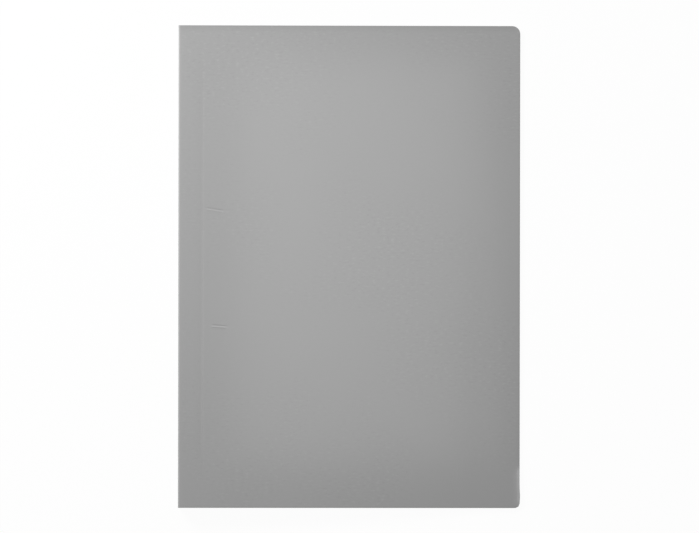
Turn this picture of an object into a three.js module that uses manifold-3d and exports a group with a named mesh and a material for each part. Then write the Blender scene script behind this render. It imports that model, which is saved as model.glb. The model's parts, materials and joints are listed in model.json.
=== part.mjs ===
// A4 report file folder, lying closed on its back cover.
// Millimetres, +Z up. The spine is on the -X side, the head of the folder faces +Y,
// and the origin is the middle of the underside.
import * as THREE from 'three';
import { mergeVertices } from 'three/addons/utils/BufferGeometryUtils.js';
import Module from 'manifold-3d';

// Cover sheet: back cover, spine, hinge strip and front cover are one scored sheet
const sheetHeight = 320;
const coverWidth = 227;
const spineDepth = 14;
const sheetGauge = 0.8;
const creaseOffset = 16.25;
const headCornerRadius = 5.3;
const tailCornerRadius = 4.2;
const foreEdgeGap = 0.3;

// Each fold is a living hinge: its line lies on the outer face, and each side stops this far from it
const foldSetback = 0.25;
const creaseBevelRun = 0.4;
const creaseBevelDepth = 0.3;

// Two short marks pressed across the front cover by what lies inside
const pressMarks = [
  { fromSpine: 24.3, alongSpine: 37.9, length: 11.9, turn: -0.16 },
  { fromSpine: 27.2, alongSpine: -39.3, length: 10.3, turn: -0.07 },
];
const pressMarkWidth = 1.6;
const pressMarkDepth = 0.2;

// Two-prong fastener
const fastenerLine = 25.7;
const prongPitch = 80;
const prongWidth = 7;
const prongGauge = 0.4;
const prongLength = 30;
const prongHumpRun = 1.6;
const prongHumpSlope = 4;
const prongHumpHeight = 1.7;
const prongTipTrim = 1.8;
const prongBendRadius = 0.6;

// Carrier strip, with a raised sleeve over the prong strip's base
const carrierGauge = 0.6;
const carrierWidth = 32;
const carrierOverhang = 35;
const carrierCornerRadius = 4;
const sleeveHalfWidth = 5.9;
const sleeveShoulder = 1.3;
const sleeveHeadroom = 0.15;

// Compressor bar, with a gutter that the prongs lie in
const barGauge = 0.5;
const barOverhang = 19;
const barFlange = 1.7;
const gutterClearance = 0.3;
const prongSlotLength = 1.6;
const barBendRadius = 0.4;

// Sliding locks
const sliderGauge = 0.45;
const sliderLength = 9;
const sliderSideClearance = 0.2;
const sliderRunClearance = 0.1;
const sliderLipClearance = 0.3;
const sliderBendRadius = 0.5;
const sliderOverTip = 0.5;
const ribLength = 8;
const ribFoot = 2.4;
const ribCrest = 0.9;
const ribHeight = 0.8;

// Thin flat parts that lie on one another
const seatGap = 0.05;

const bendSteps = 4;
const cornerSteps = 8;

const greySheet = { color: 0xa0a0a0, roughness: 0.5, metalness: 0 };
const greyStrip = { color: 0x8c8c8c, roughness: 0.6, metalness: 0 };
const tinplate = { color: 0xc4c6c8, roughness: 0.32, metalness: 1 };

// Solids: closed geometry in and out of the library that joins and cuts
const wasm = await Module();
wasm.setup();

function toSolid(geometry) {
  const bare = geometry.clone();
  bare.deleteAttribute('normal');
  bare.deleteAttribute('uv');
  const merged = mergeVertices(bare);
  return new wasm.Manifold(new wasm.Mesh({
    numProp: 3,
    vertProperties: Float32Array.from(merged.attributes.position.array),
    triVerts: Uint32Array.from(merged.index.array),
  }));
}

function toGeometry(solid) {
  const mesh = solid.getMesh();
  const geometry = new THREE.BufferGeometry();
  geometry.setAttribute('position', new THREE.BufferAttribute(mesh.vertProperties, mesh.numProp));
  geometry.setIndex(new THREE.BufferAttribute(mesh.triVerts, 1));
  const faceted = geometry.toNonIndexed();
  faceted.computeVertexNormals();
  return faceted;
}

// A section drawn in X and Z, carried along Y and centred on Y = 0
function alongY(section, length) {
  const geometry = new THREE.ExtrudeGeometry(section, { depth: length, bevelEnabled: false });
  geometry.rotateX(Math.PI / 2);
  geometry.translate(0, length / 2, 0);
  return toSolid(geometry);
}

// A section drawn in Y and Z, carried along X and centred on X = 0
function alongX(section, length) {
  const geometry = new THREE.ExtrudeGeometry(section, { depth: length, bevelEnabled: false });
  geometry.rotateX(Math.PI / 2);
  geometry.rotateZ(Math.PI / 2);
  geometry.translate(-length / 2, 0, 0);
  return toSolid(geometry);
}

// An outline drawn in X and Y, from one height up to another
function upright(outline, bottom, top) {
  const geometry = new THREE.ExtrudeGeometry(outline, {
    depth: top - bottom,
    bevelEnabled: false,
    curveSegments: cornerSteps,
  });
  geometry.translate(0, 0, bottom);
  return toSolid(geometry);
}

// A polygon through the given corners
function polygon(corners) {
  return new THREE.Shape(corners.map(([a, b]) => new THREE.Vector2(a, b)));
}

// A rectangle with round corners, centred on a point
function roundedRectangle(centreX, centreY, width, height, radius) {
  const left = centreX - width / 2;
  const right = centreX + width / 2;
  const low = centreY - height / 2;
  const high = centreY + height / 2;
  const shape = new THREE.Shape();
  shape.moveTo(left + radius, low);
  shape.lineTo(right - radius, low);
  shape.absarc(right - radius, low + radius, radius, -Math.PI / 2, 0, false);
  shape.lineTo(right, high - radius);
  shape.absarc(right - radius, high - radius, radius, 0, Math.PI / 2, false);
  shape.lineTo(left + radius, high);
  shape.absarc(left + radius, high - radius, radius, Math.PI / 2, Math.PI, false);
  shape.lineTo(left, low + radius);
  shape.absarc(left + radius, low + radius, radius, Math.PI, 1.5 * Math.PI, false);
  return shape;
}

// The section of a strip of sheet metal or plastic bent along the corners of its mid-line
function bentStrip(corners, bendRadius, gauge) {
  const points = corners.map(([a, b]) => new THREE.Vector2(a, b));
  const last = points.length - 1;
  const stations = [];
  const addStation = (point, direction) => {
    stations.push({ point, normal: new THREE.Vector2(-direction.y, direction.x) });
  };
  const directionTo = (index) => points[index + 1].clone().sub(points[index]).normalize();
  addStation(points[0], directionTo(0));
  for (let index = 1; index < last; index += 1) {
    const before = directionTo(index - 1);
    const after = directionTo(index);
    const turn = Math.atan2(before.cross(after), before.dot(after));
    const reach = bendRadius * Math.tan(Math.abs(turn) / 2);
    const start = points[index].clone().addScaledVector(before, -reach);
    const side = new THREE.Vector2(-before.y, before.x).multiplyScalar(Math.sign(turn));
    const centre = start.clone().addScaledVector(side, bendRadius);
    for (let step = 0; step <= bendSteps; step += 1) {
      const swing = (turn * step) / bendSteps;
      addStation(
        start.clone().rotateAround(centre, swing),
        before.clone().rotateAround(new THREE.Vector2(), swing),
      );
    }
  }
  addStation(points[last], directionTo(last - 1));
  const offset = (distance) => stations.map(({ point, normal }) => (
    point.clone().addScaledVector(normal, distance)
  ));
  return new THREE.Shape([...offset(-gauge / 2), ...offset(gauge / 2).reverse()]);
}

// The closed front cover slopes down until its fore edge just clears the back cover
const closedSlope = Math.asin((spineDepth - 2 * sheetGauge - foreEdgeGap) / coverWidth);
const frontWidth = coverWidth - creaseOffset;

// How far a mitred edge is cut back on the inner face of a fold with this inside angle
function mitre(insideAngle) {
  return sheetGauge / Math.tan(insideAngle / 2);
}

const backFoldMitre = mitre(Math.PI / 2);
const frontFoldMitre = mitre(Math.PI / 2 - closedSlope);

// Outline of a cover from its fold to its fore edge, the two fore corners rounded
function coverOutline(from, to) {
  const high = sheetHeight / 2;
  const outline = new THREE.Shape();
  outline.moveTo(from, -high);
  outline.lineTo(to - tailCornerRadius, -high);
  outline.absarc(to - tailCornerRadius, -high + tailCornerRadius, tailCornerRadius, -Math.PI / 2, 0, false);
  outline.lineTo(to, high - headCornerRadius);
  outline.absarc(to - headCornerRadius, high - headCornerRadius, headCornerRadius, 0, Math.PI / 2, false);
  outline.lineTo(from, high);
  return outline;
}

// Back cover: outer face down on the desk, mitred at the spine
function makeBackCover() {
  const section = polygon([
    [foldSetback, 0],
    [coverWidth, 0],
    [coverWidth, sheetGauge],
    [foldSetback + backFoldMitre, sheetGauge],
  ]);
  const plan = upright(coverOutline(0, coverWidth), -sheetGauge, 2 * sheetGauge);
  return alongY(section, sheetHeight).intersect(plan);
}

// Spine: stands on the back fold, outer face to -X, mitred at both folds
function makeSpine() {
  const section = polygon([
    [0, foldSetback],
    [sheetGauge, foldSetback + backFoldMitre],
    [sheetGauge, spineDepth - foldSetback - frontFoldMitre],
    [0, spineDepth - foldSetback],
  ]);
  return alongY(section, sheetHeight);
}

// Hinge strip: from the front fold to the crease, whose groove is pressed into the outer face
function makeHingeStrip() {
  const end = creaseOffset - foldSetback;
  const section = polygon([
    [foldSetback, 0],
    [foldSetback + frontFoldMitre, -sheetGauge],
    [end, -sheetGauge],
    [end, -creaseBevelDepth],
    [end - creaseBevelRun, 0],
  ]);
  return alongY(section, sheetHeight);
}

// One pressed mark: a shallow V-shaped groove across the cover
function makePressMark(mark) {
  const half = pressMarkWidth / 2;
  const section = polygon([
    [-half, pressMarkDepth],
    [-half, 0],
    [0, -pressMarkDepth],
    [half, 0],
    [half, pressMarkDepth],
  ]);
  const degrees = 180 / Math.PI;
  return alongX(section, mark.length)
    .rotate([0, 0, mark.turn * degrees])
    .translate([mark.fromSpine - creaseOffset, mark.alongSpine, 0]);
}

// Front cover: from the crease to the fore edge
function makeFrontCover() {
  const section = polygon([
    [foldSetback, -creaseBevelDepth],
    [foldSetback, -sheetGauge],
    [frontWidth, -sheetGauge],
    [frontWidth, 0],
    [foldSetback + creaseBevelRun, 0],
  ]);
  const plan = upright(coverOutline(0, frontWidth), -2 * sheetGauge, sheetGauge);
  return pressMarks.reduce(
    (cover, mark) => cover.subtract(makePressMark(mark)),
    alongY(section, sheetHeight).intersect(plan),
  );
}

// Fastener levels, each worked up from the one it lies on; a mid-line is half a gauge above its underside
const bedTop = sheetGauge + seatGap;
const baseLine = bedTop + prongGauge / 2;
const sleeveUnderside = bedTop + prongGauge + sleeveHeadroom;
const sleeveTop = sleeveUnderside + carrierGauge;
const gutterUnderside = sleeveTop + seatGap;
const gutterTop = gutterUnderside + barGauge;
const tongueLine = gutterTop + seatGap + prongGauge / 2;
const lipUnderside = sleeveTop + sliderRunClearance;
const flangeUnderside = lipUnderside + sliderGauge + sliderRunClearance;
const flangeTop = flangeUnderside + barGauge;
const sliderCeiling = flangeTop + sliderRunClearance;
const sliderTop = sliderCeiling + sliderGauge;
const humpLine = tongueLine + prongHumpHeight;

const gutterHalfWidth = prongWidth / 2 + gutterClearance;
const gutterWallLine = gutterHalfWidth + barGauge / 2;
const flangeEdge = gutterWallLine + barGauge / 2 + barFlange;
const prongReach = prongPitch / 2;
const prongTip = prongReach - prongLength;
const barLength = prongPitch + 2 * barOverhang;

// A slot for each prong, through everything between two heights
function cutProngSlots(solid, bottom, top) {
  return [prongReach, -prongReach].reduce((cut, y) => {
    const width = 2 * gutterHalfWidth;
    const slot = roundedRectangle(0, y, width, prongSlotLength, prongSlotLength / 4);
    return cut.subtract(upright(slot, bottom, top));
  }, solid);
}

// Carrier: flat welded margins, and the sleeve that holds the prong strip's base down
function makeCarrier() {
  const marginLine = bedTop + carrierGauge / 2;
  const sleeveLine = sleeveUnderside + carrierGauge / 2;
  const half = carrierWidth / 2;
  const foot = sleeveHalfWidth + sleeveShoulder;
  const section = bentStrip([
    [-half, marginLine],
    [-foot, marginLine],
    [-sleeveHalfWidth, sleeveLine],
    [sleeveHalfWidth, sleeveLine],
    [foot, marginLine],
    [half, marginLine],
  ], carrierGauge, carrierGauge);
  const length = prongPitch + 2 * carrierOverhang;
  const outline = roundedRectangle(0, 0, carrierWidth, length, carrierCornerRadius);
  const strip = alongY(section, length).intersect(upright(outline, 0, sleeveTop + carrierGauge));
  return cutProngSlots(strip, sleeveUnderside - carrierGauge, sleeveTop + carrierGauge);
}

// Prong strip: base, two risers, a hump where each prong bends over, and the prongs laid in the gutter
function makeProngStrip() {
  const humpEnd = prongReach - prongHumpRun;
  const tongueEnd = humpEnd - prongHumpSlope;
  const half = [
    [prongTip, tongueLine],
    [tongueEnd, tongueLine],
    [humpEnd, humpLine],
    [prongReach, humpLine],
    [prongReach, baseLine],
  ];
  const mirrored = half.map(([y, z]) => [-y, z]).reverse();
  const section = bentStrip([...half, ...mirrored], prongBendRadius, prongGauge);
  const strip = alongX(section, prongWidth);
  const corner = prongWidth / 2;
  const trims = [1, -1].flatMap((end) => [1, -1].map((side) => {
    const tipY = end * prongTip;
    const trim = polygon([
      [side * (corner - prongTipTrim), tipY],
      [side * (corner + prongTipTrim), tipY],
      [side * (corner + prongTipTrim), tipY + end * 2 * prongTipTrim],
    ]);
    return upright(trim, gutterTop, humpLine);
  }));
  return trims.reduce((cut, trim) => cut.subtract(trim), strip);
}

// Compressor bar: gutter and raised flanges, round at both ends
function makeCompressorBar() {
  const flangeLine = flangeUnderside + barGauge / 2;
  const gutterLine = gutterUnderside + barGauge / 2;
  const section = bentStrip([
    [-flangeEdge, flangeLine],
    [-gutterWallLine, flangeLine],
    [-gutterWallLine, gutterLine],
    [gutterWallLine, gutterLine],
    [gutterWallLine, flangeLine],
    [flangeEdge, flangeLine],
  ], barBendRadius, barGauge);
  const outline = roundedRectangle(0, 0, 2 * flangeEdge, barLength, barFlange * 2);
  const bar = alongY(section, barLength).intersect(upright(outline, gutterUnderside - barGauge, sliderTop));
  return cutProngSlots(bar, gutterUnderside - barGauge, gutterTop + barGauge);
}

// Sliding lock: wraps round the bar's flanges, with a rib across its top for the thumb
function makeSlider() {
  const sideLine = flangeEdge + sliderSideClearance + sliderGauge / 2;
  const lipEnd = gutterWallLine + barGauge / 2 + sliderLipClearance;
  const lipLine = lipUnderside + sliderGauge / 2;
  const topLine = sliderCeiling + sliderGauge / 2;
  const section = bentStrip([
    [-lipEnd, lipLine],
    [-sideLine, lipLine],
    [-sideLine, topLine],
    [sideLine, topLine],
    [sideLine, lipLine],
    [lipEnd, lipLine],
  ], sliderBendRadius, sliderGauge);
  const ribSection = polygon([
    [-ribFoot / 2, topLine],
    [ribFoot / 2, topLine],
    [ribCrest / 2, sliderTop + ribHeight],
    [-ribCrest / 2, sliderTop + ribHeight],
  ]);
  return alongY(section, sliderLength).add(alongX(ribSection, ribLength));
}

// Named, placed sub-parts
function part(name, solid, look) {
  const mesh = new THREE.Mesh(toGeometry(solid), new THREE.MeshStandardMaterial(look));
  mesh.name = name;
  return mesh;
}

// Front cover hangs on the crease, the hinge strip on the front fold, the spine on the back fold
const crease = new THREE.Group();
crease.position.x = creaseOffset;
crease.add(part('front_cover', makeFrontCover(), greySheet));

const frontFold = new THREE.Group();
frontFold.position.z = spineDepth;
frontFold.rotation.y = closedSlope;
frontFold.add(part('hinge_strip', makeHingeStrip(), greySheet), crease);

const backFold = new THREE.Group();
backFold.add(part('spine', makeSpine(), greySheet), frontFold);

// The sliders are locked over the prong tips, one at each side of the middle
const sliderRest = prongTip + sliderOverTip + sliderLength / 2;
const sliderHead = part('slider_head', makeSlider(), tinplate);
sliderHead.position.y = sliderRest;
const sliderTail = part('slider_tail', makeSlider(), tinplate);
sliderTail.position.y = -sliderRest;

const fastener = new THREE.Group();
fastener.position.x = fastenerLine;
fastener.add(
  part('fastener_carrier', makeCarrier(), greyStrip),
  part('prong_strip', makeProngStrip(), tinplate),
  part('compressor_bar', makeCompressorBar(), tinplate),
  sliderHead,
  sliderTail,
);

const folder = new THREE.Group();
folder.position.x = -coverWidth / 2;
folder.add(part('back_cover', makeBackCover(), greySheet), backFold, fastener);

export default folder;
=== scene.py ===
"""Looks for an A4 report file folder that lies closed on its back cover.

The cover is one scored sheet of satin grey polypropylene. It is cut flat, given its
creases and pressed marks, and then folded round the hinge lines of the frame. Inside
lies a two-prong fastener of rolled tinplate on a welded plastic carrier.
"""

import json
import logging
import math
from dataclasses import dataclass, field
from enum import Enum

import bmesh
import bpy
from mathutils import Matrix, Vector, noise


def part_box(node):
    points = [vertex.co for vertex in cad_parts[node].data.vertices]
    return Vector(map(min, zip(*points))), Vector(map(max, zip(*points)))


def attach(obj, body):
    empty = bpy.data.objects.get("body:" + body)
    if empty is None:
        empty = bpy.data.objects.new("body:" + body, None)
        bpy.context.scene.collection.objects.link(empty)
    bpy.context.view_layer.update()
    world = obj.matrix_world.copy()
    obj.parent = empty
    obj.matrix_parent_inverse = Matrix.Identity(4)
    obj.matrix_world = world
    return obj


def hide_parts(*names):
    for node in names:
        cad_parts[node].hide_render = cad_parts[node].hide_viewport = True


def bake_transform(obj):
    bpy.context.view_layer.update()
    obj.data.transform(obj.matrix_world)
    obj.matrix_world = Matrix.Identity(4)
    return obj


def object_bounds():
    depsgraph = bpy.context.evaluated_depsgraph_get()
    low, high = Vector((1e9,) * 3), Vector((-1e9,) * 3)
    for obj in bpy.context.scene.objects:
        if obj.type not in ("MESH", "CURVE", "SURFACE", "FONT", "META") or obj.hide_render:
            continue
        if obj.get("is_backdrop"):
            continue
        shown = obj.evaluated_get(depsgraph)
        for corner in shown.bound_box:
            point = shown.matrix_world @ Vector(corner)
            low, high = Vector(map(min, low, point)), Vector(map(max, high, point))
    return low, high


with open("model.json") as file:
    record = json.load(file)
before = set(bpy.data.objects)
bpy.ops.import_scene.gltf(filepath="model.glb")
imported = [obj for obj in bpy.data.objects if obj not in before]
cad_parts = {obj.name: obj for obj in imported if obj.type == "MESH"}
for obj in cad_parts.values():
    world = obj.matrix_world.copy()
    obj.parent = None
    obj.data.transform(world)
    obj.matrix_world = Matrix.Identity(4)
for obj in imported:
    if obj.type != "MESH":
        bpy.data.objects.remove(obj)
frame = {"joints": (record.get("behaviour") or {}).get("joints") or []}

# Short names for types that repeat
Pair = tuple[float, float]
Triple = tuple[float, float, float]
Socket = bpy.types.NodeSocket

LOG = logging.getLogger("report_file")
MM = 0.001
SHARP_ANGLE = math.radians(40)

# The photograph's frame, and where the cover's outline lies in it, in pixels
PHOTO_WIDTH = 699
PHOTO_HEIGHT = 533
COVER_LEFT = 178.4
COVER_RIGHT = 520.45
COVER_TOP = 25.7
COVER_BOTTOM = 507.95
COVER_ROLL = math.radians(-0.09)


class Slot(Enum):
    """The record's material slots."""

    COVER = "cover_sheet"
    CARRIER = "carrier_strip"
    METAL = "tinplate"


class Body(Enum):
    """The bodies of the frame that new pieces ride on."""

    BACK = "back"
    SPINE = "spine"
    STRIP = "strip"
    FRONT = "front"
    SLIDER_HEAD = "slider_head"
    SLIDER_TAIL = "slider_tail"


class Joint(Enum):
    """The living hinges of the frame."""

    SPINE_FOLD = "spine_fold"
    FRONT_FOLD = "front_fold"
    CREASE = "cover_crease"


def smooth_step(low: float, high: float, value: float) -> float:
    """The share, from 0 to 1, of a smooth rise that starts at low and ends at high."""
    share = min(1.0, max(0.0, (value - low) / (high - low)))
    return share * share * (3.0 - 2.0 * share)


def bell(distance: float, width: float) -> float:
    """A bell curve: 1 at no distance, and fallen off at about twice the width."""
    return math.exp(-((distance / width) ** 2))


def steps(low: float, high: float, pitch: float) -> list[float]:
    """Evenly spaced places inside a stretch, at most a pitch apart, its two ends left out."""
    count = max(1, math.ceil((high - low) / pitch))
    return [low + (high - low) * index / count for index in range(1, count)]


def hinge_line(joint: Joint) -> Vector:
    """A point on the axis of one of the frame's hinges, in metres."""
    found = next(j for j in frame["joints"] if j["name"] == joint.value)
    return Vector(found["pos_m"])


def smooth_shade(mesh: bpy.types.Mesh, sharp_angle: float = SHARP_ANGLE) -> None:
    """Shades a mesh smooth, apart from edges whose faces meet at more than an angle."""
    mesh.polygons.foreach_set("use_smooth", [True] * len(mesh.polygons))
    mesh.set_sharp_from_angle(angle=sharp_angle)


def round_off(bm: bmesh.types.BMesh, items: list, radius: float, segments: int,
              affect: str) -> dict[str, list]:
    """Rounds corners (affect VERTICES) or edges (affect EDGES) with an arc of so many chords."""
    return bmesh.ops.bevel(bm, geom=items, offset=radius, offset_type="OFFSET", segments=segments,
                           profile=0.5, affect=affect, material=-1)


def slice_through(bm: bmesh.types.BMesh, point: Triple, normal: Triple, merge: float) -> None:
    """Cuts a whole shape along a plane and keeps both sides. Cuts within merge of a corner join it."""
    bmesh.ops.bisect_plane(bm, geom=[*bm.verts, *bm.edges, *bm.faces], dist=merge,
                           plane_co=point, plane_no=normal)


def new_object(name: str, bm: bmesh.types.BMesh, material: bpy.types.Material,
               sharp_angle: float = SHARP_ANGLE) -> bpy.types.Object:
    """Makes a linked, shaded object out of a bmesh.

    Args:
        name: The object's name.
        bm: Its shape, freed here.
        material: Its finish.
        sharp_angle: Faces that meet at more than this stay sharp, in radians.

    Returns:
        The new object, at the origin.
    """
    mesh = bpy.data.meshes.new(name)
    bm.to_mesh(mesh)
    bm.free()
    smooth_shade(mesh, sharp_angle)
    mesh.materials.append(material)
    piece = bpy.data.objects.new(name, mesh)
    bpy.context.scene.collection.objects.link(piece)
    return piece


class NodeSheet:
    """Short hand for wiring one node tree."""

    def __init__(self, tree: bpy.types.NodeTree) -> None:
        """Keeps the tree that nodes are added to."""
        self.tree = tree

    def feed(self, target: Socket, value: object) -> None:
        """Joins an output to an input, or sets a plain value on the input.

        Args:
            target: The input.
            value: An output, a number, a vector, or a colour of three numbers.
        """
        if isinstance(value, Socket):
            self.tree.links.new(value, target)
        else:
            target.default_value = (*value, 1.0) if target.type == "RGBA" else value

    def add(self, kind: str, feeds: dict[str, object] | None = None, **settings: object) -> bpy.types.Node:
        """Adds a node.

        Args:
            kind: The node's type without its ShaderNode prefix, or in full for the ends of a group.
            feeds: What each named input takes, as in feed.
            **settings: Attributes to set on the node.

        Returns:
            The new node.
        """
        full = kind if kind.startswith("NodeGroup") else f"ShaderNode{kind}"
        node = self.tree.nodes.new(full)
        for name, value in settings.items():
            setattr(node, name, value)
        for name, value in (feeds or {}).items():
            self.feed(node.inputs[name], value)
        return node

    def feed_in_order(self, node: bpy.types.Node, *values: object) -> Socket:
        """Feeds a node's inputs, first to last, and gives its first output.

        Args:
            node: The node.
            *values: What each input takes, as in feed.

        Returns:
            The first output.
        """
        for socket, value in zip(node.inputs, values):
            self.feed(socket, value)
        return node.outputs[0]

    def math(self, operation: str, first: object, second: object) -> Socket:
        """Works out one value from two, each a socket or a number."""
        return self.feed_in_order(self.add("Math", operation=operation), first, second)

    def stretched(self, place: Socket, scale: Triple) -> Socket:
        """A place scaled by its own amount along each axis."""
        return self.add("Mapping", {"Vector": place, "Scale": scale}).outputs["Vector"]

    def noise(self, place: Socket, scale: object, detail: float, dimensions: str = "2D") -> Socket:
        """A noise pattern, about 0.5 on average: 2D on the flat sheet, 3D elsewhere."""
        feeds = {"Vector": place, "Scale": scale, "Detail": detail}
        return self.add("TexNoise", feeds, noise_dimensions=dimensions).outputs["Fac"]

    def ramp(self, value: Socket, start: float, end: float, least: float = 0.0) -> Socket:
        """A soft mask of a value: least before start, and 1 past end, which may lie below it."""
        feeds = {"Value": value, "From Min": start, "From Max": end, "To Min": least}
        return self.add("MapRange", feeds, interpolation_type="SMOOTHSTEP").outputs["Result"]

    def mix(self, under: object, over: object, mask: Socket) -> Socket:
        """Lays one colour over another by a mask."""
        feeds = {"A": under, "B": over, "Factor": mask}
        return self.add("Mix", feeds, data_type="RGBA").outputs["Result"]

    def mix_shaders(self, under: Socket, over: Socket, mask: Socket) -> Socket:
        """Lays one shader over another by a mask."""
        return self.feed_in_order(self.add("MixShader"), mask, under, over)


def start_material(name: str) -> tuple[bpy.types.Material, NodeSheet, bpy.types.Node]:
    """Makes a material.

    Args:
        name: Its name.

    Returns:
        The material, its wiring helper and its Principled BSDF.
    """
    material = bpy.data.materials.new(name)
    material.use_nodes = True
    return material, NodeSheet(material.node_tree), material.node_tree.nodes["Principled BSDF"]


class PatternGroup:
    """A shader node group of one surface pattern, read at a place."""

    NAME = ""
    NUMBERS: dict[str, float] = {}
    OUTPUTS: tuple[str, ...] = ()

    @classmethod
    def get(cls) -> bpy.types.NodeTree:
        """The group, built on first use.

        Returns:
            The node group.
        """
        found = bpy.data.node_groups.get(cls.NAME)
        if found:
            return found
        group = bpy.data.node_groups.new(cls.NAME, "ShaderNodeTree")
        group.interface.new_socket("Vector", in_out="INPUT", socket_type="NodeSocketVector")
        for label, default in cls.NUMBERS.items():
            socket = group.interface.new_socket(label, in_out="INPUT", socket_type="NodeSocketFloat")
            socket.default_value = default
        for label in cls.OUTPUTS:
            group.interface.new_socket(label, in_out="OUTPUT", socket_type="NodeSocketFloat")
        sheet = NodeSheet(group)
        source, result = sheet.add("NodeGroupInput"), sheet.add("NodeGroupOutput")
        for label, value in zip(cls.OUTPUTS, cls.values(sheet, source.outputs)):
            sheet.feed(result.inputs[label], value)
        return group

    @classmethod
    def values(cls, sheet: NodeSheet, given: bpy.types.NodeOutputs) -> tuple[Socket, ...]:
        """Wires the pattern from the group's inputs, and gives the value of each output in order."""
        raise NotImplementedError


class GrainGroup(PatternGroup):
    """Fine calender grain of plastic sheet, with sparse level flecks, specks, pits and a slow tone."""

    NAME = "SheetGrain"
    NUMBERS = {"Grain Scale": 2400.0, "Fleck Scale": 260.0, "Fleck Share": 0.5, "Speck Scale": 620.0}
    OUTPUTS = ("Height", "Tone", "Gloss", "Speck", "Pit")
    CLOUD_SCALE = 9.0
    FLECK_STRETCH = (1.0, 5.0, 1.0)
    FLECK_RAMP = (0.66, 0.76)
    SPECK_STRETCH = (0.5, 1.3, 1.0)
    SPECK_RAMP = (0.60, 0.76)
    PIT_RAMP = (0.40, 0.24)
    GATHER_RAMP = (0.40, 0.66)
    GATHER_LEAST = 0.15

    @classmethod
    def values(cls, sheet: NodeSheet, given: bpy.types.NodeOutputs) -> tuple[Socket, ...]:
        """Wires the grain. Specks and pits are thickest where the slow cloud of tone is.

        Args:
            sheet: The group's wiring helper.
            given: The group's place and numbers, by name.

        Returns:
            Height, tone, gloss, speck and pit.
        """
        place = given["Vector"]
        grain = sheet.noise(place, given["Grain Scale"], detail=2.0)
        cloud = sheet.noise(place, cls.CLOUD_SCALE, detail=3.0)
        fleck = sheet.noise(sheet.stretched(place, cls.FLECK_STRETCH), given["Fleck Scale"], detail=1.0)
        flecks = sheet.math("MULTIPLY", sheet.ramp(fleck, *cls.FLECK_RAMP), given["Fleck Share"])
        fine = sheet.noise(sheet.stretched(place, cls.SPECK_STRETCH), given["Speck Scale"], detail=1.5)
        gather = sheet.ramp(cloud, *cls.GATHER_RAMP, least=cls.GATHER_LEAST)
        dots = [sheet.math("MULTIPLY", sheet.ramp(fine, *ramp), gather)
                for ramp in (cls.SPECK_RAMP, cls.PIT_RAMP)]
        return sheet.math("ADD", grain, flecks), cloud, sheet.math("MULTIPLY", grain, cloud), *dots


class RolledMetalGroup(PatternGroup):
    """Drawn lines and faint stains of rolled tinplate."""

    NAME = "RolledMetal"
    NUMBERS = {"Line Scale": 1500.0}
    OUTPUTS = ("Height", "Tone", "Gloss")
    LINE_STRETCH = (1.0, 0.04, 1.0)
    STAIN_SCALE = 180.0

    @classmethod
    def values(cls, sheet: NodeSheet, given: bpy.types.NodeOutputs) -> tuple[Socket, ...]:
        """Wires the drawn lines and the stains.

        Args:
            sheet: The group's wiring helper.
            given: The group's place and number, by name.

        Returns:
            Height, tone and gloss.
        """
        long_place = sheet.stretched(given["Vector"], cls.LINE_STRETCH)
        lines = sheet.noise(long_place, given["Line Scale"], detail=3.0, dimensions="3D")
        stain = sheet.noise(given["Vector"], cls.STAIN_SCALE, detail=4.0, dimensions="3D")
        return lines, stain, sheet.math("MULTIPLY", lines, stain)


@dataclass(frozen=True)
class Finish:
    """What every finish shares: two tones of one colour, a span of roughness and a fine relief."""

    name: str
    color: Triple
    shade: Triple
    rough_low: float
    rough_high: float
    bump_distance: float
    bump_strength: float = 0.3

    def dress(self, sheet: NodeSheet, shader: bpy.types.Node, group: bpy.types.Node) -> Socket:
        """Feeds a group's gloss and height into the shader, and mixes the two tones by its tone.

        Args:
            sheet: The material's wiring helper.
            shader: The Principled BSDF.
            group: The placed node group.

        Returns:
            The mixed colour.
        """
        levels = {"Value": group.outputs["Gloss"], "To Min": self.rough_low, "To Max": self.rough_high}
        relief = {"Height": group.outputs["Height"], "Strength": self.bump_strength,
                  "Distance": self.bump_distance}
        sheet.feed(shader.inputs["Roughness"], sheet.add("MapRange", levels).outputs["Result"])
        sheet.feed(shader.inputs["Normal"], sheet.add("Bump", relief).outputs["Normal"])
        return sheet.mix(self.color, self.shade, group.outputs["Tone"])


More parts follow.
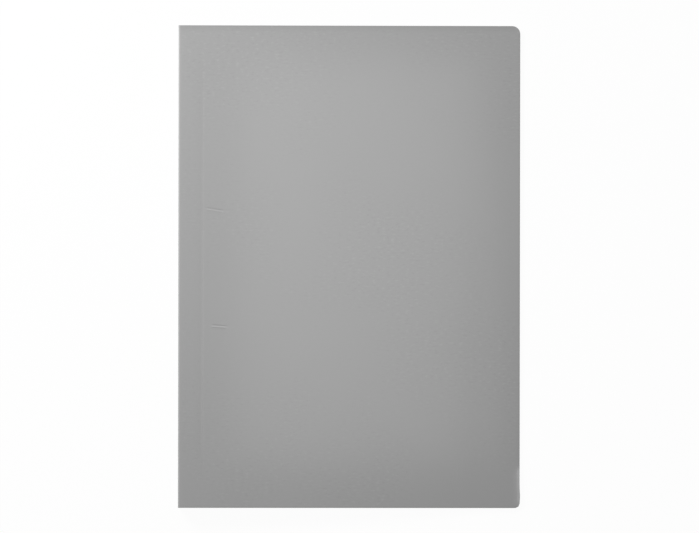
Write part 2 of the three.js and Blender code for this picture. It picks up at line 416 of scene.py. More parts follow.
@dataclass(frozen=True)
class SatinSheet(Finish):
    """Satin grained polypropylene. Bent folds whiten a little where the sheet is strained. The curled tail
    corner is painted lighter, partly whitening from the bend and partly a painted highlight, and the
    edges, folds and the strip before the crease get painted shade.
    """

    # Lighter tone for the whitening of strained folds, also painted on the curled tail corner as a painted
    # highlight.
    stressed_and_highlit: Triple = (0.45, 0.45, 0.45)
    # Darker tone painted as shade along the edges, at the folds and on the strip before the crease.
    painted_shade_tone: Triple = (0.30, 0.30, 0.30)
    speck: Triple = (0.382, 0.382, 0.382)
    pit: Triple = (0.338, 0.338, 0.338)
    grain_scale: float = 2400.0
    fleck_share: float = 0.5
    specular: float = 0.5

    def build(self, uses_sheet_map: bool) -> bpy.types.Material:
        """Makes the material.

        Args:
            uses_sheet_map: True if the pieces carry the flat sheet's own map and masks.

        Returns:
            The material.
        """
        material, sheet, shader = start_material(self.name)
        shader.inputs["Specular IOR Level"].default_value = self.specular
        if uses_sheet_map:
            place = sheet.add("UVMap", uv_map=CoverSheet.MAP).outputs["UV"]
        else:
            place = sheet.add("TexCoord").outputs["Object"]
        feeds = {"Vector": place, "Grain Scale": self.grain_scale, "Fleck Share": self.fleck_share}
        group = sheet.add("Group", feeds, node_tree=GrainGroup.get())
        layers = [(group.outputs["Speck"], self.speck), (group.outputs["Pit"], self.pit)]
        if uses_sheet_map:
            # Lays on the fold whitening, with a painted highlight on the curled corner, then painted shade
            # along edges, folds and the crease.
            for mask, tone in ((CoverSheet.STRESS_AND_HIGHLIGHT, self.stressed_and_highlit), (CoverSheet.PAINTED_SHADE, self.painted_shade_tone)):
                layers.append((sheet.add("Attribute", attribute_name=mask).outputs["Fac"], tone))
        color = self.dress(sheet, shader, group)
        for mask, tone in layers:
            color = sheet.mix(color, tone, mask)
        sheet.feed(shader.inputs["Base Color"], color)
        return material


@dataclass(frozen=True)
class Tinplate(Finish):
    """Bright rolled tinplate."""

    line_scale: float = 1500.0

    def build(self) -> bpy.types.Material:
        """Makes the material.

        Returns:
            The material.
        """
        material, sheet, shader = start_material(self.name)
        shader.inputs["Metallic"].default_value = 1.0
        feeds = {"Vector": sheet.add("TexCoord").outputs["Object"], "Line Scale": self.line_scale}
        group = sheet.add("Group", feeds, node_tree=RolledMetalGroup.get())
        sheet.feed(shader.inputs["Base Color"], self.dress(sheet, shader, group))
        return material


@dataclass(frozen=True)
class PressMark:
    """A short groove pressed across the front cover, in metres and radians."""

    from_spine: float
    along_spine: float
    length: float
    turn: float
    depth: float = 0.18 * MM
    lip: float = 0.08 * MM
    width: float = 0.52 * MM
    lip_widths_away: float = 1.6
    end_fade: Pair = (1.5 * MM, 0.5 * MM)

    def relief(self, across: float, along: float) -> float:
        """How far the mark moves the sheet's face.

        Args:
            across: Distance from the spine, along the cover.
            along: Distance from the middle, towards the head.

        Returns:
            The height, up positive, in metres.
        """
        x, y = across - self.from_spine, along - self.along_spine
        run = x * math.cos(self.turn) + y * math.sin(self.turn)
        side = y * math.cos(self.turn) - x * math.sin(self.turn)
        before, past = self.end_fade
        fade = 1.0 - smooth_step(self.length / 2 - before, self.length / 2 + past, abs(run))
        lip = self.lip * bell(side + self.lip_widths_away * self.width, self.width)
        return (lip - self.depth * bell(side, self.width)) * fade


@dataclass
class FoldedPath:
    """The outer face of the closed sheet, seen from its tail, as a run of flats and bends.

    A place on it is a distance from the back cover's fore edge, round the spine, to
    the front cover's fore edge.
    """

    corners: list[Vector]
    radius: float
    runs: list[tuple[float, Vector, Vector, float]] = field(default_factory=list)
    bends: list[Pair] = field(default_factory=list)
    length: float = 0.0

    def __post_init__(self) -> None:
        """Works out the flats and the bends between the corners."""
        start, place = self.corners[0], 0.0
        for index in range(1, len(self.corners)):
            corner = self.corners[index]
            heading = (corner - self.corners[index - 1]).normalized()
            turn, reach = 0.0, 0.0
            if index < len(self.corners) - 1:
                after = (self.corners[index + 1] - corner).normalized()
                turn = math.atan2(heading.x * after.y - heading.y * after.x, heading.dot(after))
                reach = self.radius * math.tan(abs(turn) / 2)
            flat = (corner - start).length - reach
            self.runs.append((place, start, heading, 0.0))
            place += flat
            start = start + heading * flat
            if turn:
                self.runs.append((place, start, heading, turn))
                self.bends.append((place, place + self.radius * abs(turn)))
                place += self.radius * abs(turn)
                start = corner + after * reach
        self.length = place

    def at(self, place: float, depth: float) -> Vector:
        """A point of the folded sheet.

        Args:
            place: Distance along the outer face.
            depth: How far below the outer face, inward.

        Returns:
            The point, X and Z, in metres.
        """
        begin, start, heading, turn = next(
            run for run in reversed(self.runs) if run[0] <= place or run is self.runs[0])
        inward = Vector((heading.y, -heading.x))
        distance = place - begin
        if not turn:
            return start + heading * distance + inward * depth
        centre = start + inward * self.radius
        swing = -distance / self.radius
        spoke = Vector((-inward.x, -inward.y)) * (self.radius - depth)
        spoke.rotate(Matrix.Rotation(swing, 2))
        return centre + spoke


@dataclass(frozen=True)
class Tint:
    """A mask that is full on a line or an edge, and fades away from it."""

    strength: float
    width: float

    def at(self, distance: float) -> float:
        """The mask at a distance from the line, in metres."""
        return self.strength * bell(distance, self.width)


@dataclass
class CoverSheet:
    """The one scored sheet: back cover, spine, hinge strip and front cover."""

    finish: bpy.types.Material
    fold_radius: float = 1.1 * MM
    head_corner: float = 5.3 * MM
    tail_corner: float = 2.9 * MM
    back_corner: float = 5.3 * MM
    fore_inset: float = 0.3 * MM
    crease_depth: float = 0.05 * MM
    crease_width: float = 0.5 * MM
    crease_half_length: float = 127 * MM
    crease_fade: float = 16 * MM
    strip_dip: float = 0.20 * MM
    dip_recovery: float = 70 * MM
    dip_past_crease_ends: float = 0.35
    wave_height: float = 0.25 * MM
    wave_length: float = 120 * MM
    wave_slice: float = 0.37
    settle_parts: Pair = (3.0, 4.0)
    flare: float = 0.3 * MM
    flare_width: float = 6 * MM
    flare_from_tail: float = 8 * MM
    curl: float = 0.32 * MM
    curl_width: float = 2.6 * MM
    curl_rise: Pair = (0.0, 5 * MM)
    curl_fall: Pair = (21 * MM, 29 * MM)
    fold_stress: Tint = Tint(0.25, 0.9 * MM)
    # Painted highlight, partly whitening from the bend: the curled tail corner is painted much lighter.
    curl_highlight_and_stress: float = 0.8
    # Painted shade: darker colour along the cut edges, at the folds, and on the strip side of the crease.
    painted_edge_shade: Tint = Tint(0.60, 0.7 * MM)
    painted_fold_shade: Tint = Tint(0.25, 1.2 * MM)
    painted_crease_shade: Tint = Tint(0.22, 4 * MM)
    # Keeps the painted edge shade off the curled corner, so that its painted highlight stays light.
    curl_keeps_edge_shade_off: float = 3 * MM
    round_segments: int = 8
    blunt_segments: int = 2
    cut_pitch: float = 5 * MM
    curl_cut_pitch: float = 0.5 * MM
    tail_cut_pitch: float = 1.5 * MM
    tail_cut_reach: float = 30 * MM
    mark_cut_pitches: Pair = (0.8 * MM, 0.25 * MM)
    mark_cut_reaches: Pair = (1 * MM, 2.2 * MM)
    cuts_per_fold_radius: int = 6
    cuts_per_crease_width: int = 3
    crease_widths_cut: float = 3.0
    least_cut: float = 0.05 * MM
    merge: float = 1e-7
    blend_radii: float = 1.6
    marks: tuple[PressMark, ...] = (
        PressMark(24.3 * MM, 37.9 * MM, 11.9 * MM, -0.16),
        PressMark(27.2 * MM, -39.3 * MM, 10.3 * MM, -0.07, lip=0.14 * MM),
    )

    MAP = "sheet_map"
    # Mask of the fold whitening and of the painted highlight on the curled corner.
    STRESS_AND_HIGHLIGHT = "fold_stress"
    # Mask of the painted shade along edges, folds and the crease.
    PAINTED_SHADE = "painted_edge_shade"

    def __post_init__(self) -> None:
        """Takes the sheet's places from the frame."""
        low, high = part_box("back_cover")
        self.gauge = high.z - low.z
        self.half_height = high.y
        self.spine_fold, self.front_fold, self.crease = (hinge_line(joint) for joint in Joint)
        strip = (self.crease - self.front_fold).xz
        self.slope = strip.normalized()
        self.crease_from_fold = strip.length
        self.cover_width = high.x - self.spine_fold.x
        fore = self.front_fold.xz + self.slope * self.cover_width
        back_fore = Vector((high.x - self.fore_inset, 0.0))
        self.path = FoldedPath([back_fore, self.spine_fold.xz, self.front_fold.xz, fore], self.fold_radius)
        self.front_fold_place = self.path.length - self.cover_width
        self.crease_place = self.front_fold_place + self.crease_from_fold
        self.mid_spine = (self.path.bends[0][1] + self.path.bends[1][0]) / 2
        self.mid_strip = (self.path.bends[1][1] + self.crease_place) / 2

    def relief(self, place: float, along: float) -> float:
        """How far the outer face stands off its flat form.

        Args:
            place: Distance along the folded sheet.
            along: Distance from the middle, towards the head.

        Returns:
            The height, up positive, in metres.
        """
        across = place - self.front_fold_place
        if across < self.path.bends[1][1] - self.front_fold_place:
            return 0.0
        beyond = across - self.crease_from_fold
        if beyond < 0:
            dip = -self.strip_dip * (across / self.crease_from_fold) ** 2
        else:
            dip = -self.strip_dip * math.exp(-beyond / self.dip_recovery)
        reach = self._crease_reach(along)
        groove = -self.crease_depth * bell(beyond, self.crease_width) * reach
        marks = sum(mark.relief(across, along) for mark in self.marks)
        sample = Vector((across / self.wave_length, along / self.wave_length, self.wave_slice))
        curl = self.curl * self._curl_share(place, along)
        before, past = (self.wave_length / parts for parts in self.settle_parts)
        settle = smooth_step(0.0, before, beyond) * smooth_step(0.0, past, self.cover_width - across)
        wave = self.wave_height * noise.noise(sample) * settle
        sag = min(0.0, wave - self.wave_height / 2 * settle)
        dip *= self.dip_past_crease_ends + (1.0 - self.dip_past_crease_ends) * reach
        return dip + groove + marks + sag + curl

    def _curl_share(self, place: float, along: float) -> float:
        """How fully the front cover's bumped fore edge curls up, near its tail corner."""
        from_tail = along + self.half_height
        window = smooth_step(*self.curl_rise, from_tail) * (1.0 - smooth_step(*self.curl_fall, from_tail))
        return window * smooth_step(self.path.length - self.curl_width, self.path.length, place)

    def _crease_reach(self, along: float) -> float:
        """How fully the crease shows at a distance from the middle: 1, fading to 0 near both ends."""
        return 1.0 - smooth_step(self.crease_half_length - self.crease_fade,
                                 self.crease_half_length + self.crease_fade, abs(along))

    def _cuts_across(self, start: float, end: float) -> list[float]:
        """Where the flat sheet is cut across, closest at bends, crease and marks.

        Args:
            start: First place of the piece.
            end: Last place of the piece.

        Returns:
            The places of the cuts, in metres along the sheet.
        """
        cuts = steps(0.0, self.path.length, self.cut_pitch)
        cuts += steps(self.path.length - self.curl_width, self.path.length, self.curl_cut_pitch)
        fold_pitch = self.fold_radius / self.cuts_per_fold_radius
        for bend_start, bend_end in self.path.bends:
            cuts += [bend_start, bend_end, *steps(bend_start, bend_end, fold_pitch)]
        reach = self.crease_widths_cut * self.crease_width
        crease_pitch = self.crease_width / self.cuts_per_crease_width
        cuts += steps(self.crease_place - reach, self.crease_place + reach, crease_pitch)
        for mark in self.marks:
            middle = self.front_fold_place + mark.from_spine
            reach = mark.length / 2 + self.mark_cut_reaches[0]
            cuts += steps(middle - reach, middle + reach, self.mark_cut_pitches[0])
        first, last = start + self.least_cut, end - self.least_cut
        return sorted(cut for cut in set(cuts) if first < cut < last)

    def _cuts_along(self) -> list[float]:
        """Where the flat sheet is cut lengthwise, closest at the marks.

        Returns:
            The places of the cuts, in metres from the middle.
        """
        cuts = steps(-self.half_height, self.half_height, self.cut_pitch)
        reach = self.mark_cut_reaches[1]
        for mark in self.marks:
            cuts += steps(mark.along_spine - reach, mark.along_spine + reach, self.mark_cut_pitches[1])
        tail = -self.half_height
        cuts += steps(tail, tail + self.tail_cut_reach, self.tail_cut_pitch)
        return sorted(set(cuts))

    def _flat_piece(self, start: float, end: float,
                    corners: list[tuple[float, float, float, int]]) -> bmesh.types.BMesh:
        """Cuts one stretch of the sheet flat, rounds its corners and gives it its gauge.

        Args:
            start: First place of the stretch.
            end: Last place of the stretch.
            corners: Place, side, radius and segments of each corner that is rounded.

        Returns:
            The flat piece, with X along the sheet, Y along the spine and Z out of the outer face.
        """
        bm = bmesh.new()
        bmesh.ops.create_grid(bm, x_segments=1, y_segments=1, size=0.5)
        bmesh.ops.scale(bm, vec=(end - start, 2 * self.half_height, 1.0), verts=bm.verts)
        bmesh.ops.translate(bm, vec=((start + end) / 2, 0.0, 0.0), verts=bm.verts)
        for place, side, radius, segments in corners:
            target = Vector((place, side * self.half_height, 0.0))
            corner = min(bm.verts, key=lambda vert: (vert.co - target).length)
            round_off(bm, [corner], radius, segments, "VERTICES")
        for cut in self._cuts_across(start, end):
            slice_through(bm, (cut, 0.0, 0.0), (1.0, 0.0, 0.0), self.merge)
        for cut in self._cuts_along():
            slice_through(bm, (0.0, cut, 0.0), (0.0, 1.0, 0.0), self.merge)
        grown = bmesh.ops.extrude_face_region(bm, geom=list(bm.faces), use_keep_orig=True)
        lowered = [item for item in grown["geom"] if isinstance(item, bmesh.types.BMVert)]
        bmesh.ops.translate(bm, vec=(0.0, 0.0, -self.gauge), verts=lowered)
        bmesh.ops.recalc_face_normals(bm, faces=bm.faces)
        return bm

    def _masks(self, place: float, along: float) -> Pair:
        """Whitening of strained folds, a painted highlight on the curled corner, and painted shade along
        edges, folds and the crease, at a place.

        Args:
            place: Distance along the folded sheet.
            along: Distance from the middle, towards the head.

        Returns:
            The two masks, from 0 to 1.
        """
        folds = [(low + high) / 2 for low, high in self.path.bends]
        from_fold = min(abs(place - fold) for fold in folds)
        curl = self._curl_share(place, along)
        # Whitening of strained folds, plus a painted highlight where the tail corner curls.
        stress_and_highlight = max(self.fold_stress.at(from_fold), self.curl_highlight_and_stress * curl)
        # Painted shade along the edges and the folds, kept off the curled corner.
        edge = min(place, self.path.length - place, self.half_height - abs(along))
        from_edge = max(0.0, edge + curl * self.curl_keeps_edge_shade_off)
        painted_shade = self.painted_edge_shade.at(from_edge) + self.painted_fold_shade.at(from_fold)
        # Painted shade on the strip just before the crease, on that side only.
        before_crease = self.crease_place - place
        if before_crease > 0:
            painted_shade += self.painted_crease_shade.at(before_crease) * self._crease_reach(along)
        return stress_and_highlight, min(1.0, painted_shade)

    def _fold(self, name: str, bm: bmesh.types.BMesh) -> bpy.types.Object:
        """Folds a flat piece round the hinge lines, and keeps its flat map and masks.

        Args:
            name: The piece's name.
            bm: The flat piece.

        Returns:
            The folded object.
        """
        layer = bm.loops.layers.uv.new(self.MAP)
        # Per-vertex masks: fold whitening with the painted highlight, and the painted shade.
        stress_and_highlight = bm.verts.layers.float.new(self.STRESS_AND_HIGHLIGHT)
        painted_shade = bm.verts.layers.float.new(self.PAINTED_SHADE)
        for face in bm.faces:
            for loop in face.loops:
                loop[layer].uv = loop.vert.co.xy
        for vert in bm.verts:
            place, along, height = vert.co
            vert[stress_and_highlight], vert[painted_shade] = self._masks(place, along)
            lift = self.relief(place, along)
            point = self.path.at(place, -height - lift)
            vert.co = Vector((point.x + self._flare(place, along), along, point.y))
        return new_object(name, bm, self.finish)

    def _flare(self, place: float, along: float) -> float:
        """How far the bumped tail corner of the front cover spreads outward."""
        from_tail = along + self.half_height - self.flare_from_tail
        near_edge = smooth_step(self.path.length - self.flare_width, self.path.length, place)
        return self.flare * near_edge * bell(from_tail, self.flare_from_tail / 2)

    def build(self) -> list[bpy.types.Object]:
        """Makes the three pieces of the sheet, which part in the middle of rigid stretches.

        Returns:
            The pieces.
        """
        end = self.path.length
        back = self._fold("back_sheet", self._flat_piece(
            0.0, self.mid_spine,
            [(0.0, side, self.back_corner, self.round_segments) for side in (1.0, -1.0)]))
        spine = self._fold("spine_sheet", self._flat_piece(self.mid_spine, self.mid_strip, []))
        front = self._fold("front_sheet", self._flat_piece(
            self.mid_strip, end,
            [(end, 1.0, self.head_corner, self.round_segments),
             (end, -1.0, self.tail_corner, self.blunt_segments)]))
        self._join(back)
        self._join(spine)
        self._join(front)
        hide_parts("back_cover")
        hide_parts("spine", "hinge_strip")
        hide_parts("front_cover")
        return [back, spine, front]

    def _join(self, piece: bpy.types.Object) -> None:
        """Bakes a piece's place into its mesh.

        Args:
            piece: The piece.
        """
        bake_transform(piece)


@dataclass(frozen=True)
class BentSheet:
    """A strip of sheet bent across its section, in millimetres.

    The section is drawn through the middle of the gauge, and carried along Y.
    """

    section: tuple[Pair, ...]
    length: float
    gauge: float
    bend_reach: float
    corner: float
    slots: tuple[float, ...] = ()
    slot_half_width: float = 3.7
    slot_half_length: float = 0.8
    bend_segments: int = 6
    rim: float = 0.06
    rim_segments: int = 2
    rim_angle: float = math.radians(50)
    merge: float = 1e-5

    def middle_surface(self) -> bmesh.types.BMesh:
        """Draws the section, carries it along Y, rounds its bends and corners and cuts its slots.

        Returns:
            The surface in the middle of the gauge, in metres.
        """
        bm = bmesh.new()
        row = [bm.verts.new((across, -self.length / 2, height)) for across, height in self.section]
        edges = [bm.edges.new(pair) for pair in zip(row, row[1:])]
        grown = bmesh.ops.extrude_edge_only(bm, edges=edges)["geom"]
        far = [item for item in grown if isinstance(item, bmesh.types.BMVert)]
        bmesh.ops.translate(bm, vec=(0.0, self.length, 0.0), verts=far)
        corners = [vert for vert in bm.verts if len(vert.link_faces) == 1]
        round_off(bm, corners, self.corner, self.bend_segments, "VERTICES")
        folds = [edge for edge in bm.edges if len(edge.link_faces) == 2]
        round_off(bm, folds, self.bend_reach, self.bend_segments, "EDGES")
        for slot in self.slots:
            self._cut_slot(bm, slot)
        bmesh.ops.recalc_face_normals(bm, faces=bm.faces)
        bmesh.ops.scale(bm, vec=(MM, MM, MM), verts=bm.verts)
        return bm

    def _cut_slot(self, bm: bmesh.types.BMesh, slot: float) -> None:
        """Cuts one slot through the middle of the section.

        Args:
            bm: The surface, in millimetres.
            slot: The slot's place along Y.
        """
        planes = [((0.0, slot + end * self.slot_half_length, 0.0), (0.0, 1.0, 0.0)) for end in (-1, 1)]
        planes += [((side * self.slot_half_width, 0.0, 0.0), (1.0, 0.0, 0.0)) for side in (-1, 1)]
        for point, normal in planes:
            slice_through(bm, point, normal, self.merge)
        middles = {face: face.calc_center_median() for face in bm.faces}
        inside = [face for face, middle in middles.items()
                  if abs(middle.x) < self.slot_half_width and abs(middle.y - slot) < self.slot_half_length]
        bmesh.ops.delete(bm, geom=inside, context="FACES")

    def build(self, name: str, finish: bpy.types.Material, place: Matrix) -> bpy.types.Object:
        """Makes the piece, with its gauge and softened rims.

        Args:
            name: The piece's name.
            finish: Its material.
            place: Where it goes, in metres.

        Returns:
            The piece, with its place in its mesh.
        """
        bm = self.middle_surface()
        bmesh.ops.transform(bm, matrix=place, verts=bm.verts)
        piece = new_object(name, bm, finish)
        wall = piece.modifiers.new("wall", "SOLIDIFY")
        wall.thickness = self.gauge * MM
        wall.offset = 0.0
        wall.use_even_offset = True
        rim = piece.modifiers.new("rim", "BEVEL")
        rim.width = self.rim * MM
        rim.segments = self.rim_segments
        rim.limit_method = "ANGLE"
        rim.angle_limit = self.rim_angle
        graph = bpy.context.evaluated_depsgraph_get()
        finished = bpy.data.meshes.new_from_object(piece.evaluated_get(graph))
        smooth_shade(finished)
        piece.modifiers.clear()
        piece.data = finished
        return piece


@dataclass(frozen=True)
class Room:
    """The room that the frame gives a bent sheet, to the middle of its gauge, in millimetres."""

    half_width: float
    length: float
    low: float
    high: float

    @classmethod
    def of(cls, node: str, gauge: float) -> "Room":
        """The room in a node's box. Its levels are those of the lowest and highest flats."""
        low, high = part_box(node)
        return cls((high.x - low.x) / 2 / MM, (high.y - low.y) / MM,
                   low.z / MM + gauge / 2, high.z / MM - gauge / 2)


def mirrored(half: tuple[Pair, ...]) -> tuple[Pair, ...]:
    """A whole section from its right half, which runs from the middle outward."""
    left = tuple((-across, height) for across, height in reversed(half))
    return left + half


@dataclass
class Fastener:
    """The two-prong fastener, in millimetres. Its places and outer sizes are those of the frame."""

    carrier_finish: bpy.types.Material
    metal_finish: bpy.types.Material
    prong_reach: float = 40.0
    prong_gauge: float = 0.4
    prong_length: float = 30.0
    hump_run: float = 1.6
    hump_slope: float = 4.0
    carrier_gauge: float = 0.6
    sleeve_half_width: float = 5.9
    sleeve_shoulder: float = 1.3
    bar_gauge: float = 0.5
    gutter_clearance: float = 0.3
    slider_gauge: float = 0.45
    run_clearance: float = 0.1
    lip_clearance: float = 0.3
    seat_gap: float = 0.05
    rib_widths: Pair = (2.4, 0.9)
    rib_length: float = 8.0
    grip_places: tuple[float, ...] = (-3.2, -2.3, 2.3, 3.2)
    grip_widths: Pair = (0.45, 0.225)
    grip_height: float = 0.16
    ridge_rounding: float = 0.3
    ridge_segments: int = 3
    weld_pitch: float = 3.0
    weld_size: Triple = (1.0, 1.8, 0.18)
    weld_inset: float = 2.2
    weld_sharp_angle: float = math.radians(60)

    def __post_init__(self) -> None:
        """Takes the fastener's line from the frame, and draws the four sections round one another."""
        low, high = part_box("fastener_carrier")
        self.line = (low.x + high.x) / 2
        self.carrier = self._carrier_section()
        self.bar = self._bar_section()
        self.prongs = self._prong_section()
        self.slider = self._slider_section()

    def _carrier_section(self) -> BentSheet:
        """The plastic strip, with a raised sleeve along its middle.

        Returns:
            The strip, flat at its edges.
        """
        room = Room.of("fastener_carrier", self.carrier_gauge)
        half = ((self.sleeve_half_width, room.high),
                (self.sleeve_half_width + self.sleeve_shoulder, room.low), (room.half_width, room.low))
        return BentSheet(mirrored(half), room.length, self.carrier_gauge, bend_reach=0.3, corner=4.0,
                         slots=(-self.prong_reach, self.prong_reach))

    def _bar_section(self) -> BentSheet:
        """The compressor bar, with a gutter as wide as the prongs and their clearance.

        Returns:
            The bar.
        """
        room = Room.of("compressor_bar", self.bar_gauge)
        prong_width = Room.of("prong_strip", self.prong_gauge).half_width
        wall = prong_width + self.gutter_clearance + self.bar_gauge / 2
        half = ((wall, room.low), (wall, room.high), (room.half_width, room.high))
        return BentSheet(mirrored(half), room.length, self.bar_gauge, bend_reach=0.28, corner=1.6,
                         slots=(-self.prong_reach, self.prong_reach))

    def _prong_section(self) -> BentSheet:
        """The prong strip seen from its side: base, risers, humps and prongs that lie in the gutter.

        Returns:
            The strip, along X.
        """
        room = Room.of("prong_strip", self.prong_gauge)
        gutter = self.bar.section[2][1]
        lying = gutter + self.bar_gauge / 2 + self.seat_gap + self.prong_gauge / 2
        hump = self.prong_reach - self.hump_run
        half = ((self.prong_reach, room.low), (self.prong_reach, room.high), (hump, room.high),
                (hump - self.hump_slope, lying), (self.prong_reach - self.prong_length, lying))
        around = tuple((-across, height) for across, height in half)
        return BentSheet(half[::-1] + around, 2 * room.half_width, self.prong_gauge,
                         bend_reach=0.55, corner=1.8)

    def _slider_section(self) -> BentSheet:
        """A sliding lock, wrapped round the bar's flanges.

        Returns:
            The lock, without its ridges.
        """
        room = Room.of("slider_head", self.slider_gauge)
        wall, flange = self.bar.section[-2]
        top = flange + self.bar_gauge / 2 + self.run_clearance + self.slider_gauge / 2
        side = room.half_width - self.slider_gauge / 2
        lip = wall + self.bar_gauge / 2 + self.lip_clearance
        half = ((side, top), (side, room.low), (lip, room.low))
        return BentSheet(mirrored(half), room.length, self.slider_gauge, bend_reach=0.5, corner=0.4)

    def build(self) -> list[bpy.types.Object]:
        """Makes the carrier, the prong strip, the bar and the two sliders.

        Returns:
            The pieces, each riding on its body.
        """
        place = Matrix.Translation((self.line, 0.0, 0.0))
        quarter = Matrix.Rotation(math.pi / 2, 4, "Z")
        carrier = self.carrier.build("carrier_sheet", self.carrier_finish, place)
        prongs = self.prongs.build("prongs", self.metal_finish, place @ quarter)
        bar = self.bar.build("bar", self.metal_finish, place)
        welds = self._build_welds()
        rows = [(carrier, "fastener_carrier", Body.BACK, Slot.CARRIER),
                (prongs, "prong_strip", Body.BACK, Slot.METAL),
                (bar, "compressor_bar", Body.BACK, Slot.METAL),
                (self._build_slider(Body.SLIDER_HEAD), "slider_head", Body.SLIDER_HEAD, Slot.METAL),
                (self._build_slider(Body.SLIDER_TAIL), "slider_tail", Body.SLIDER_TAIL, Slot.METAL)]
        for piece, node, body, slot in rows:
            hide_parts(node)
            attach(piece, body.value)
        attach(welds, Body.BACK.value)
        return [row[0] for row in rows] + [welds]

    def _build_slider(self, body: Body) -> bpy.types.Object:
        """Makes one sliding lock, with its thumb rib and fine grips.

        Args:
            body: The slider's body, whose node has the same name.

        Returns:
            The slider.
        """
        low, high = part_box(body.value)
        place = Matrix.Translation((self.line, (low.y + high.y) / 2, 0.0))
        slider = self.slider.build(f"{body.value}_clip", self.metal_finish, place)
        bm = bmesh.new()
        bm.from_mesh(slider.data)
        top = self.slider.section[2][1]
        self._add_ridge(bm, place, 0.0, top, self.rib_widths, high.z / MM - top)
        grip_height = self.slider_gauge / 2 + self.grip_height
        for grip in self.grip_places:
            self._add_ridge(bm, place, grip, top, self.grip_widths, grip_height)
        bm.to_mesh(slider.data)
        bm.free()
        smooth_shade(slider.data)
        return slider

    def _add_ridge(self, bm: bmesh.types.BMesh, place: Matrix, along: float, foot: float,
                   widths: Pair, height: float) -> None:
        """Adds one rounded ridge across the top of a slider.

        Args:
            bm: The slider.
            place: The slider's place.
            along: The ridge's place along the slider, in millimetres.
            foot: Its foot's height, in millimetres.
            widths: Its width at foot and crest, in millimetres.
            height: Its height over the foot, in millimetres.
        """
        to_metres = Matrix.Diagonal((MM, MM, MM, 1.0))
        shift = place @ to_metres @ Matrix.Translation((0.0, along, foot + height / 2))
        made = bmesh.ops.create_cube(bm, size=1.0)["verts"]
        bmesh.ops.scale(bm, vec=(self.rib_length, widths[0], height), verts=made)
        crest = [vert for vert in made if vert.co.z > 0]
        bmesh.ops.scale(bm, vec=(1.0, widths[1] / widths[0], 1.0), verts=crest)
        edges = list({edge for vert in crest for edge in vert.link_edges})
        rounded = round_off(bm, edges, widths[1] * self.ridge_rounding, self.ridge_segments, "EDGES")
        island = {vert for vert in [*made, *rounded["verts"]] if vert.is_valid}
        bmesh.ops.transform(bm, matrix=shift, verts=list(island))

    def _build_welds(self) -> bpy.types.Object:
        """Makes the two rows of pressed weld dots that hold the carrier to the back cover.

        Returns:
            The weld seams.
        """
        low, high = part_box("fastener_carrier")
        top = (self.carrier.section[0][1] + self.carrier_gauge / 2) * MM
        inset = self.weld_inset * MM
        size = Matrix.Diagonal((*(side * MM for side in self.weld_size), 1.0))
        bm = bmesh.new()
        for x in (low.x + inset, high.x - inset):
            for y in steps(low.y + 2 * inset, high.y - 2 * inset, self.weld_pitch * MM):
                bmesh.ops.create_uvsphere(bm, u_segments=10, v_segments=6, radius=0.5,
                                          matrix=Matrix.Translation((x, y, top)) @ size)
        return new_object("carrier_welds", bm, self.carrier_finish, self.weld_sharp_angle)


@dataclass(frozen=True)
class Lamp:
    """A soft rectangular lamp, in metres and watts."""

    name: str
    place: Triple
    target: Triple
    size: Pair
    power: float

    def build(self) -> None:
        """Makes the lamp, unseen by the camera."""
        data = bpy.data.lights.new(self.name, "AREA")
        data.shape = "RECTANGLE"
        data.size, data.size_y = self.size
        data.energy = self.power
        lamp = bpy.data.objects.new(self.name, data)
        bpy.context.scene.collection.objects.link(lamp)
        lamp.location = self.place
        aim = Vector(self.target) - Vector(self.place)
        lamp.rotation_euler = aim.to_track_quat("-Z", "Y").to_euler()
        lamp.visible_camera = False


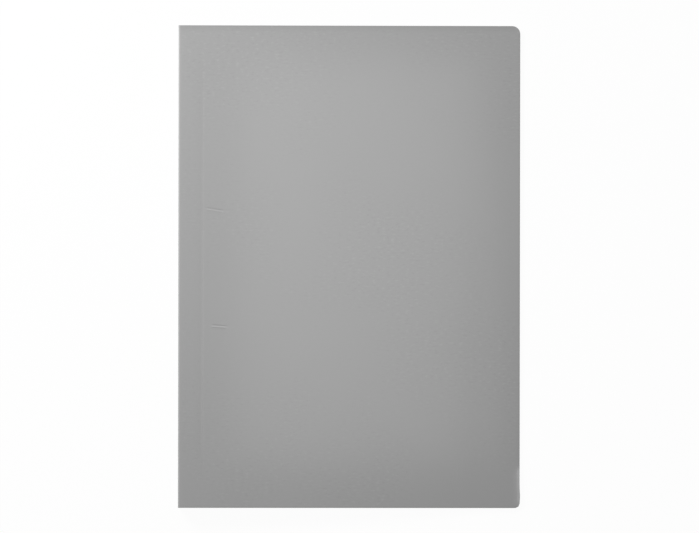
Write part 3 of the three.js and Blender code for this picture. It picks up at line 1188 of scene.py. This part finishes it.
@dataclass
class Studio:
    """White backdrop, soft lamps and the camera."""

    floor_drop: float = 0.3 * MM
    floor_size: float = 12.0
    floor_color: Triple = (0.82, 0.82, 0.82)
    floor_roughness: float = 0.9
    backdrop_share: float = 0.965
    world_strength: float = 0.1
    white: Triple = (1.0, 1.0, 1.0)
    camera_height: float = 9.0
    sensor: float = 36.0
    lamps: tuple[Lamp, ...] = (
        Lamp("key", (-0.70, 0.60, 0.63), (0.0, 0.0, 0.0), (0.4, 0.4), 14.6),
        Lamp("overhead", (0.037, 0.006, 0.30), (0.037, 0.006, 0.0), (0.163, 0.277), 0.125),
    )

    def build_camera(self) -> None:
        """Makes the camera, straight above, with the cover where the photograph has it."""
        low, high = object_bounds()
        cover_pixels = ((COVER_RIGHT - COVER_LEFT) + (COVER_BOTTOM - COVER_TOP)) / 2
        cover_metres = ((high.x - low.x) + (high.y - low.y)) / 2
        pixel = cover_metres / cover_pixels
        middle_x = (COVER_LEFT + COVER_RIGHT) / 2 - PHOTO_WIDTH / 2
        middle_y = (COVER_TOP + COVER_BOTTOM) / 2 - PHOTO_HEIGHT / 2
        data = bpy.data.cameras.new("camera")
        data.sensor_width = self.sensor
        data.lens = self.sensor * (self.camera_height - high.z / 2) / (PHOTO_WIDTH * pixel)
        camera = bpy.data.objects.new("camera", data)
        bpy.context.scene.collection.objects.link(camera)
        camera.location = (-middle_x * pixel, middle_y * pixel, self.camera_height)
        camera.rotation_euler = (0.0, 0.0, -COVER_ROLL)
        bpy.context.scene.camera = camera

    def build_floor(self) -> None:
        """Makes the floor, which is seen as white but keeps the shadow."""
        material, sheet, shader = start_material("white_floor")
        sheet.feed(shader.inputs["Base Color"], self.floor_color)
        sheet.feed(shader.inputs["Roughness"], self.floor_roughness)
        self._show_white(sheet, shader.outputs["BSDF"], "Emission", self.backdrop_share)
        bm = bmesh.new()
        bmesh.ops.create_grid(bm, x_segments=4, y_segments=4, size=self.floor_size / 2)
        bmesh.ops.translate(bm, vec=(0.0, 0.0, -self.floor_drop), verts=bm.verts)
        floor = new_object("floor", bm, material)
        floor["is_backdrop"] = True

    def build_world(self) -> None:
        """Makes the even studio surround, white where it is seen."""
        world = bpy.data.worlds.new("studio")
        world.use_nodes = True
        sheet = NodeSheet(world.node_tree)
        surround = world.node_tree.nodes["Background"]
        sheet.feed(surround.inputs["Color"], self.white)
        sheet.feed(surround.inputs["Strength"], self.world_strength)
        self._show_white(sheet, surround.outputs["Background"], "Background", 1.0)
        bpy.context.scene.world = world

    def _show_white(self, sheet: NodeSheet, lit: Socket, glow: str, share: float) -> None:
        """Shows white to the rays that see the background: straight, mirrored or through glass.

        Args:
            sheet: The floor's or the world's wiring helper.
            lit: What all other rays meet.
            glow: The kind of node that gives the white.
            share: How much of it those rays see.
        """
        rays = sheet.add("LightPath").outputs
        seen = sheet.math("MAXIMUM", rays["Is Camera Ray"], rays["Is Glossy Ray"])
        seen = sheet.math("MAXIMUM", seen, rays["Is Transmission Ray"])
        white = sheet.add(glow, {"Color": self.white, "Strength": 1.0}).outputs[0]
        surface = sheet.mix_shaders(lit, white, sheet.math("MULTIPLY", seen, share))
        end = next(node for node in sheet.tree.nodes if node.type.startswith("OUTPUT"))
        sheet.feed(end.inputs["Surface"], surface)

    def build(self) -> None:
        """Sets the whole studio."""
        self.build_camera()
        self.build_world()
        self.build_floor()
        for lamp in self.lamps:
            lamp.build()
        bpy.context.scene.view_settings.view_transform = "Standard"


def main() -> None:
    """Builds the studio, the sheet and the fastener, and logs each piece."""
    logging.basicConfig(level=logging.INFO, format="%(name)s: %(message)s")
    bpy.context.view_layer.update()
    Studio().build()
    cover_finish = SatinSheet("satin_grey_sheet", color=(0.37, 0.37, 0.37), shade=(0.35, 0.35, 0.35),
                              rough_low=0.17, rough_high=0.25, bump_distance=0.02 * MM,
                              specular=0.7).build(uses_sheet_map=True)
    carrier_finish = SatinSheet("satin_dark_strip", color=(0.27, 0.27, 0.275), shade=(0.24, 0.24, 0.245),
                                rough_low=0.36, rough_high=0.5, bump_distance=0.015 * MM,
                                speck=(0.28, 0.28, 0.285), pit=(0.235, 0.235, 0.24),
                                fleck_share=0.15).build(uses_sheet_map=False)
    metal_finish = Tinplate("bright_tinplate", color=(0.60, 0.61, 0.62), shade=(0.50, 0.505, 0.51),
                            rough_low=0.20, rough_high=0.38, bump_distance=0.004 * MM).build()
    pieces = CoverSheet(cover_finish).build() + Fastener(carrier_finish, metal_finish).build()
    for piece in pieces:
        LOG.info("%s: %d faces", piece.name, len(piece.data.polygons))


if __name__ == "__main__":
    main()
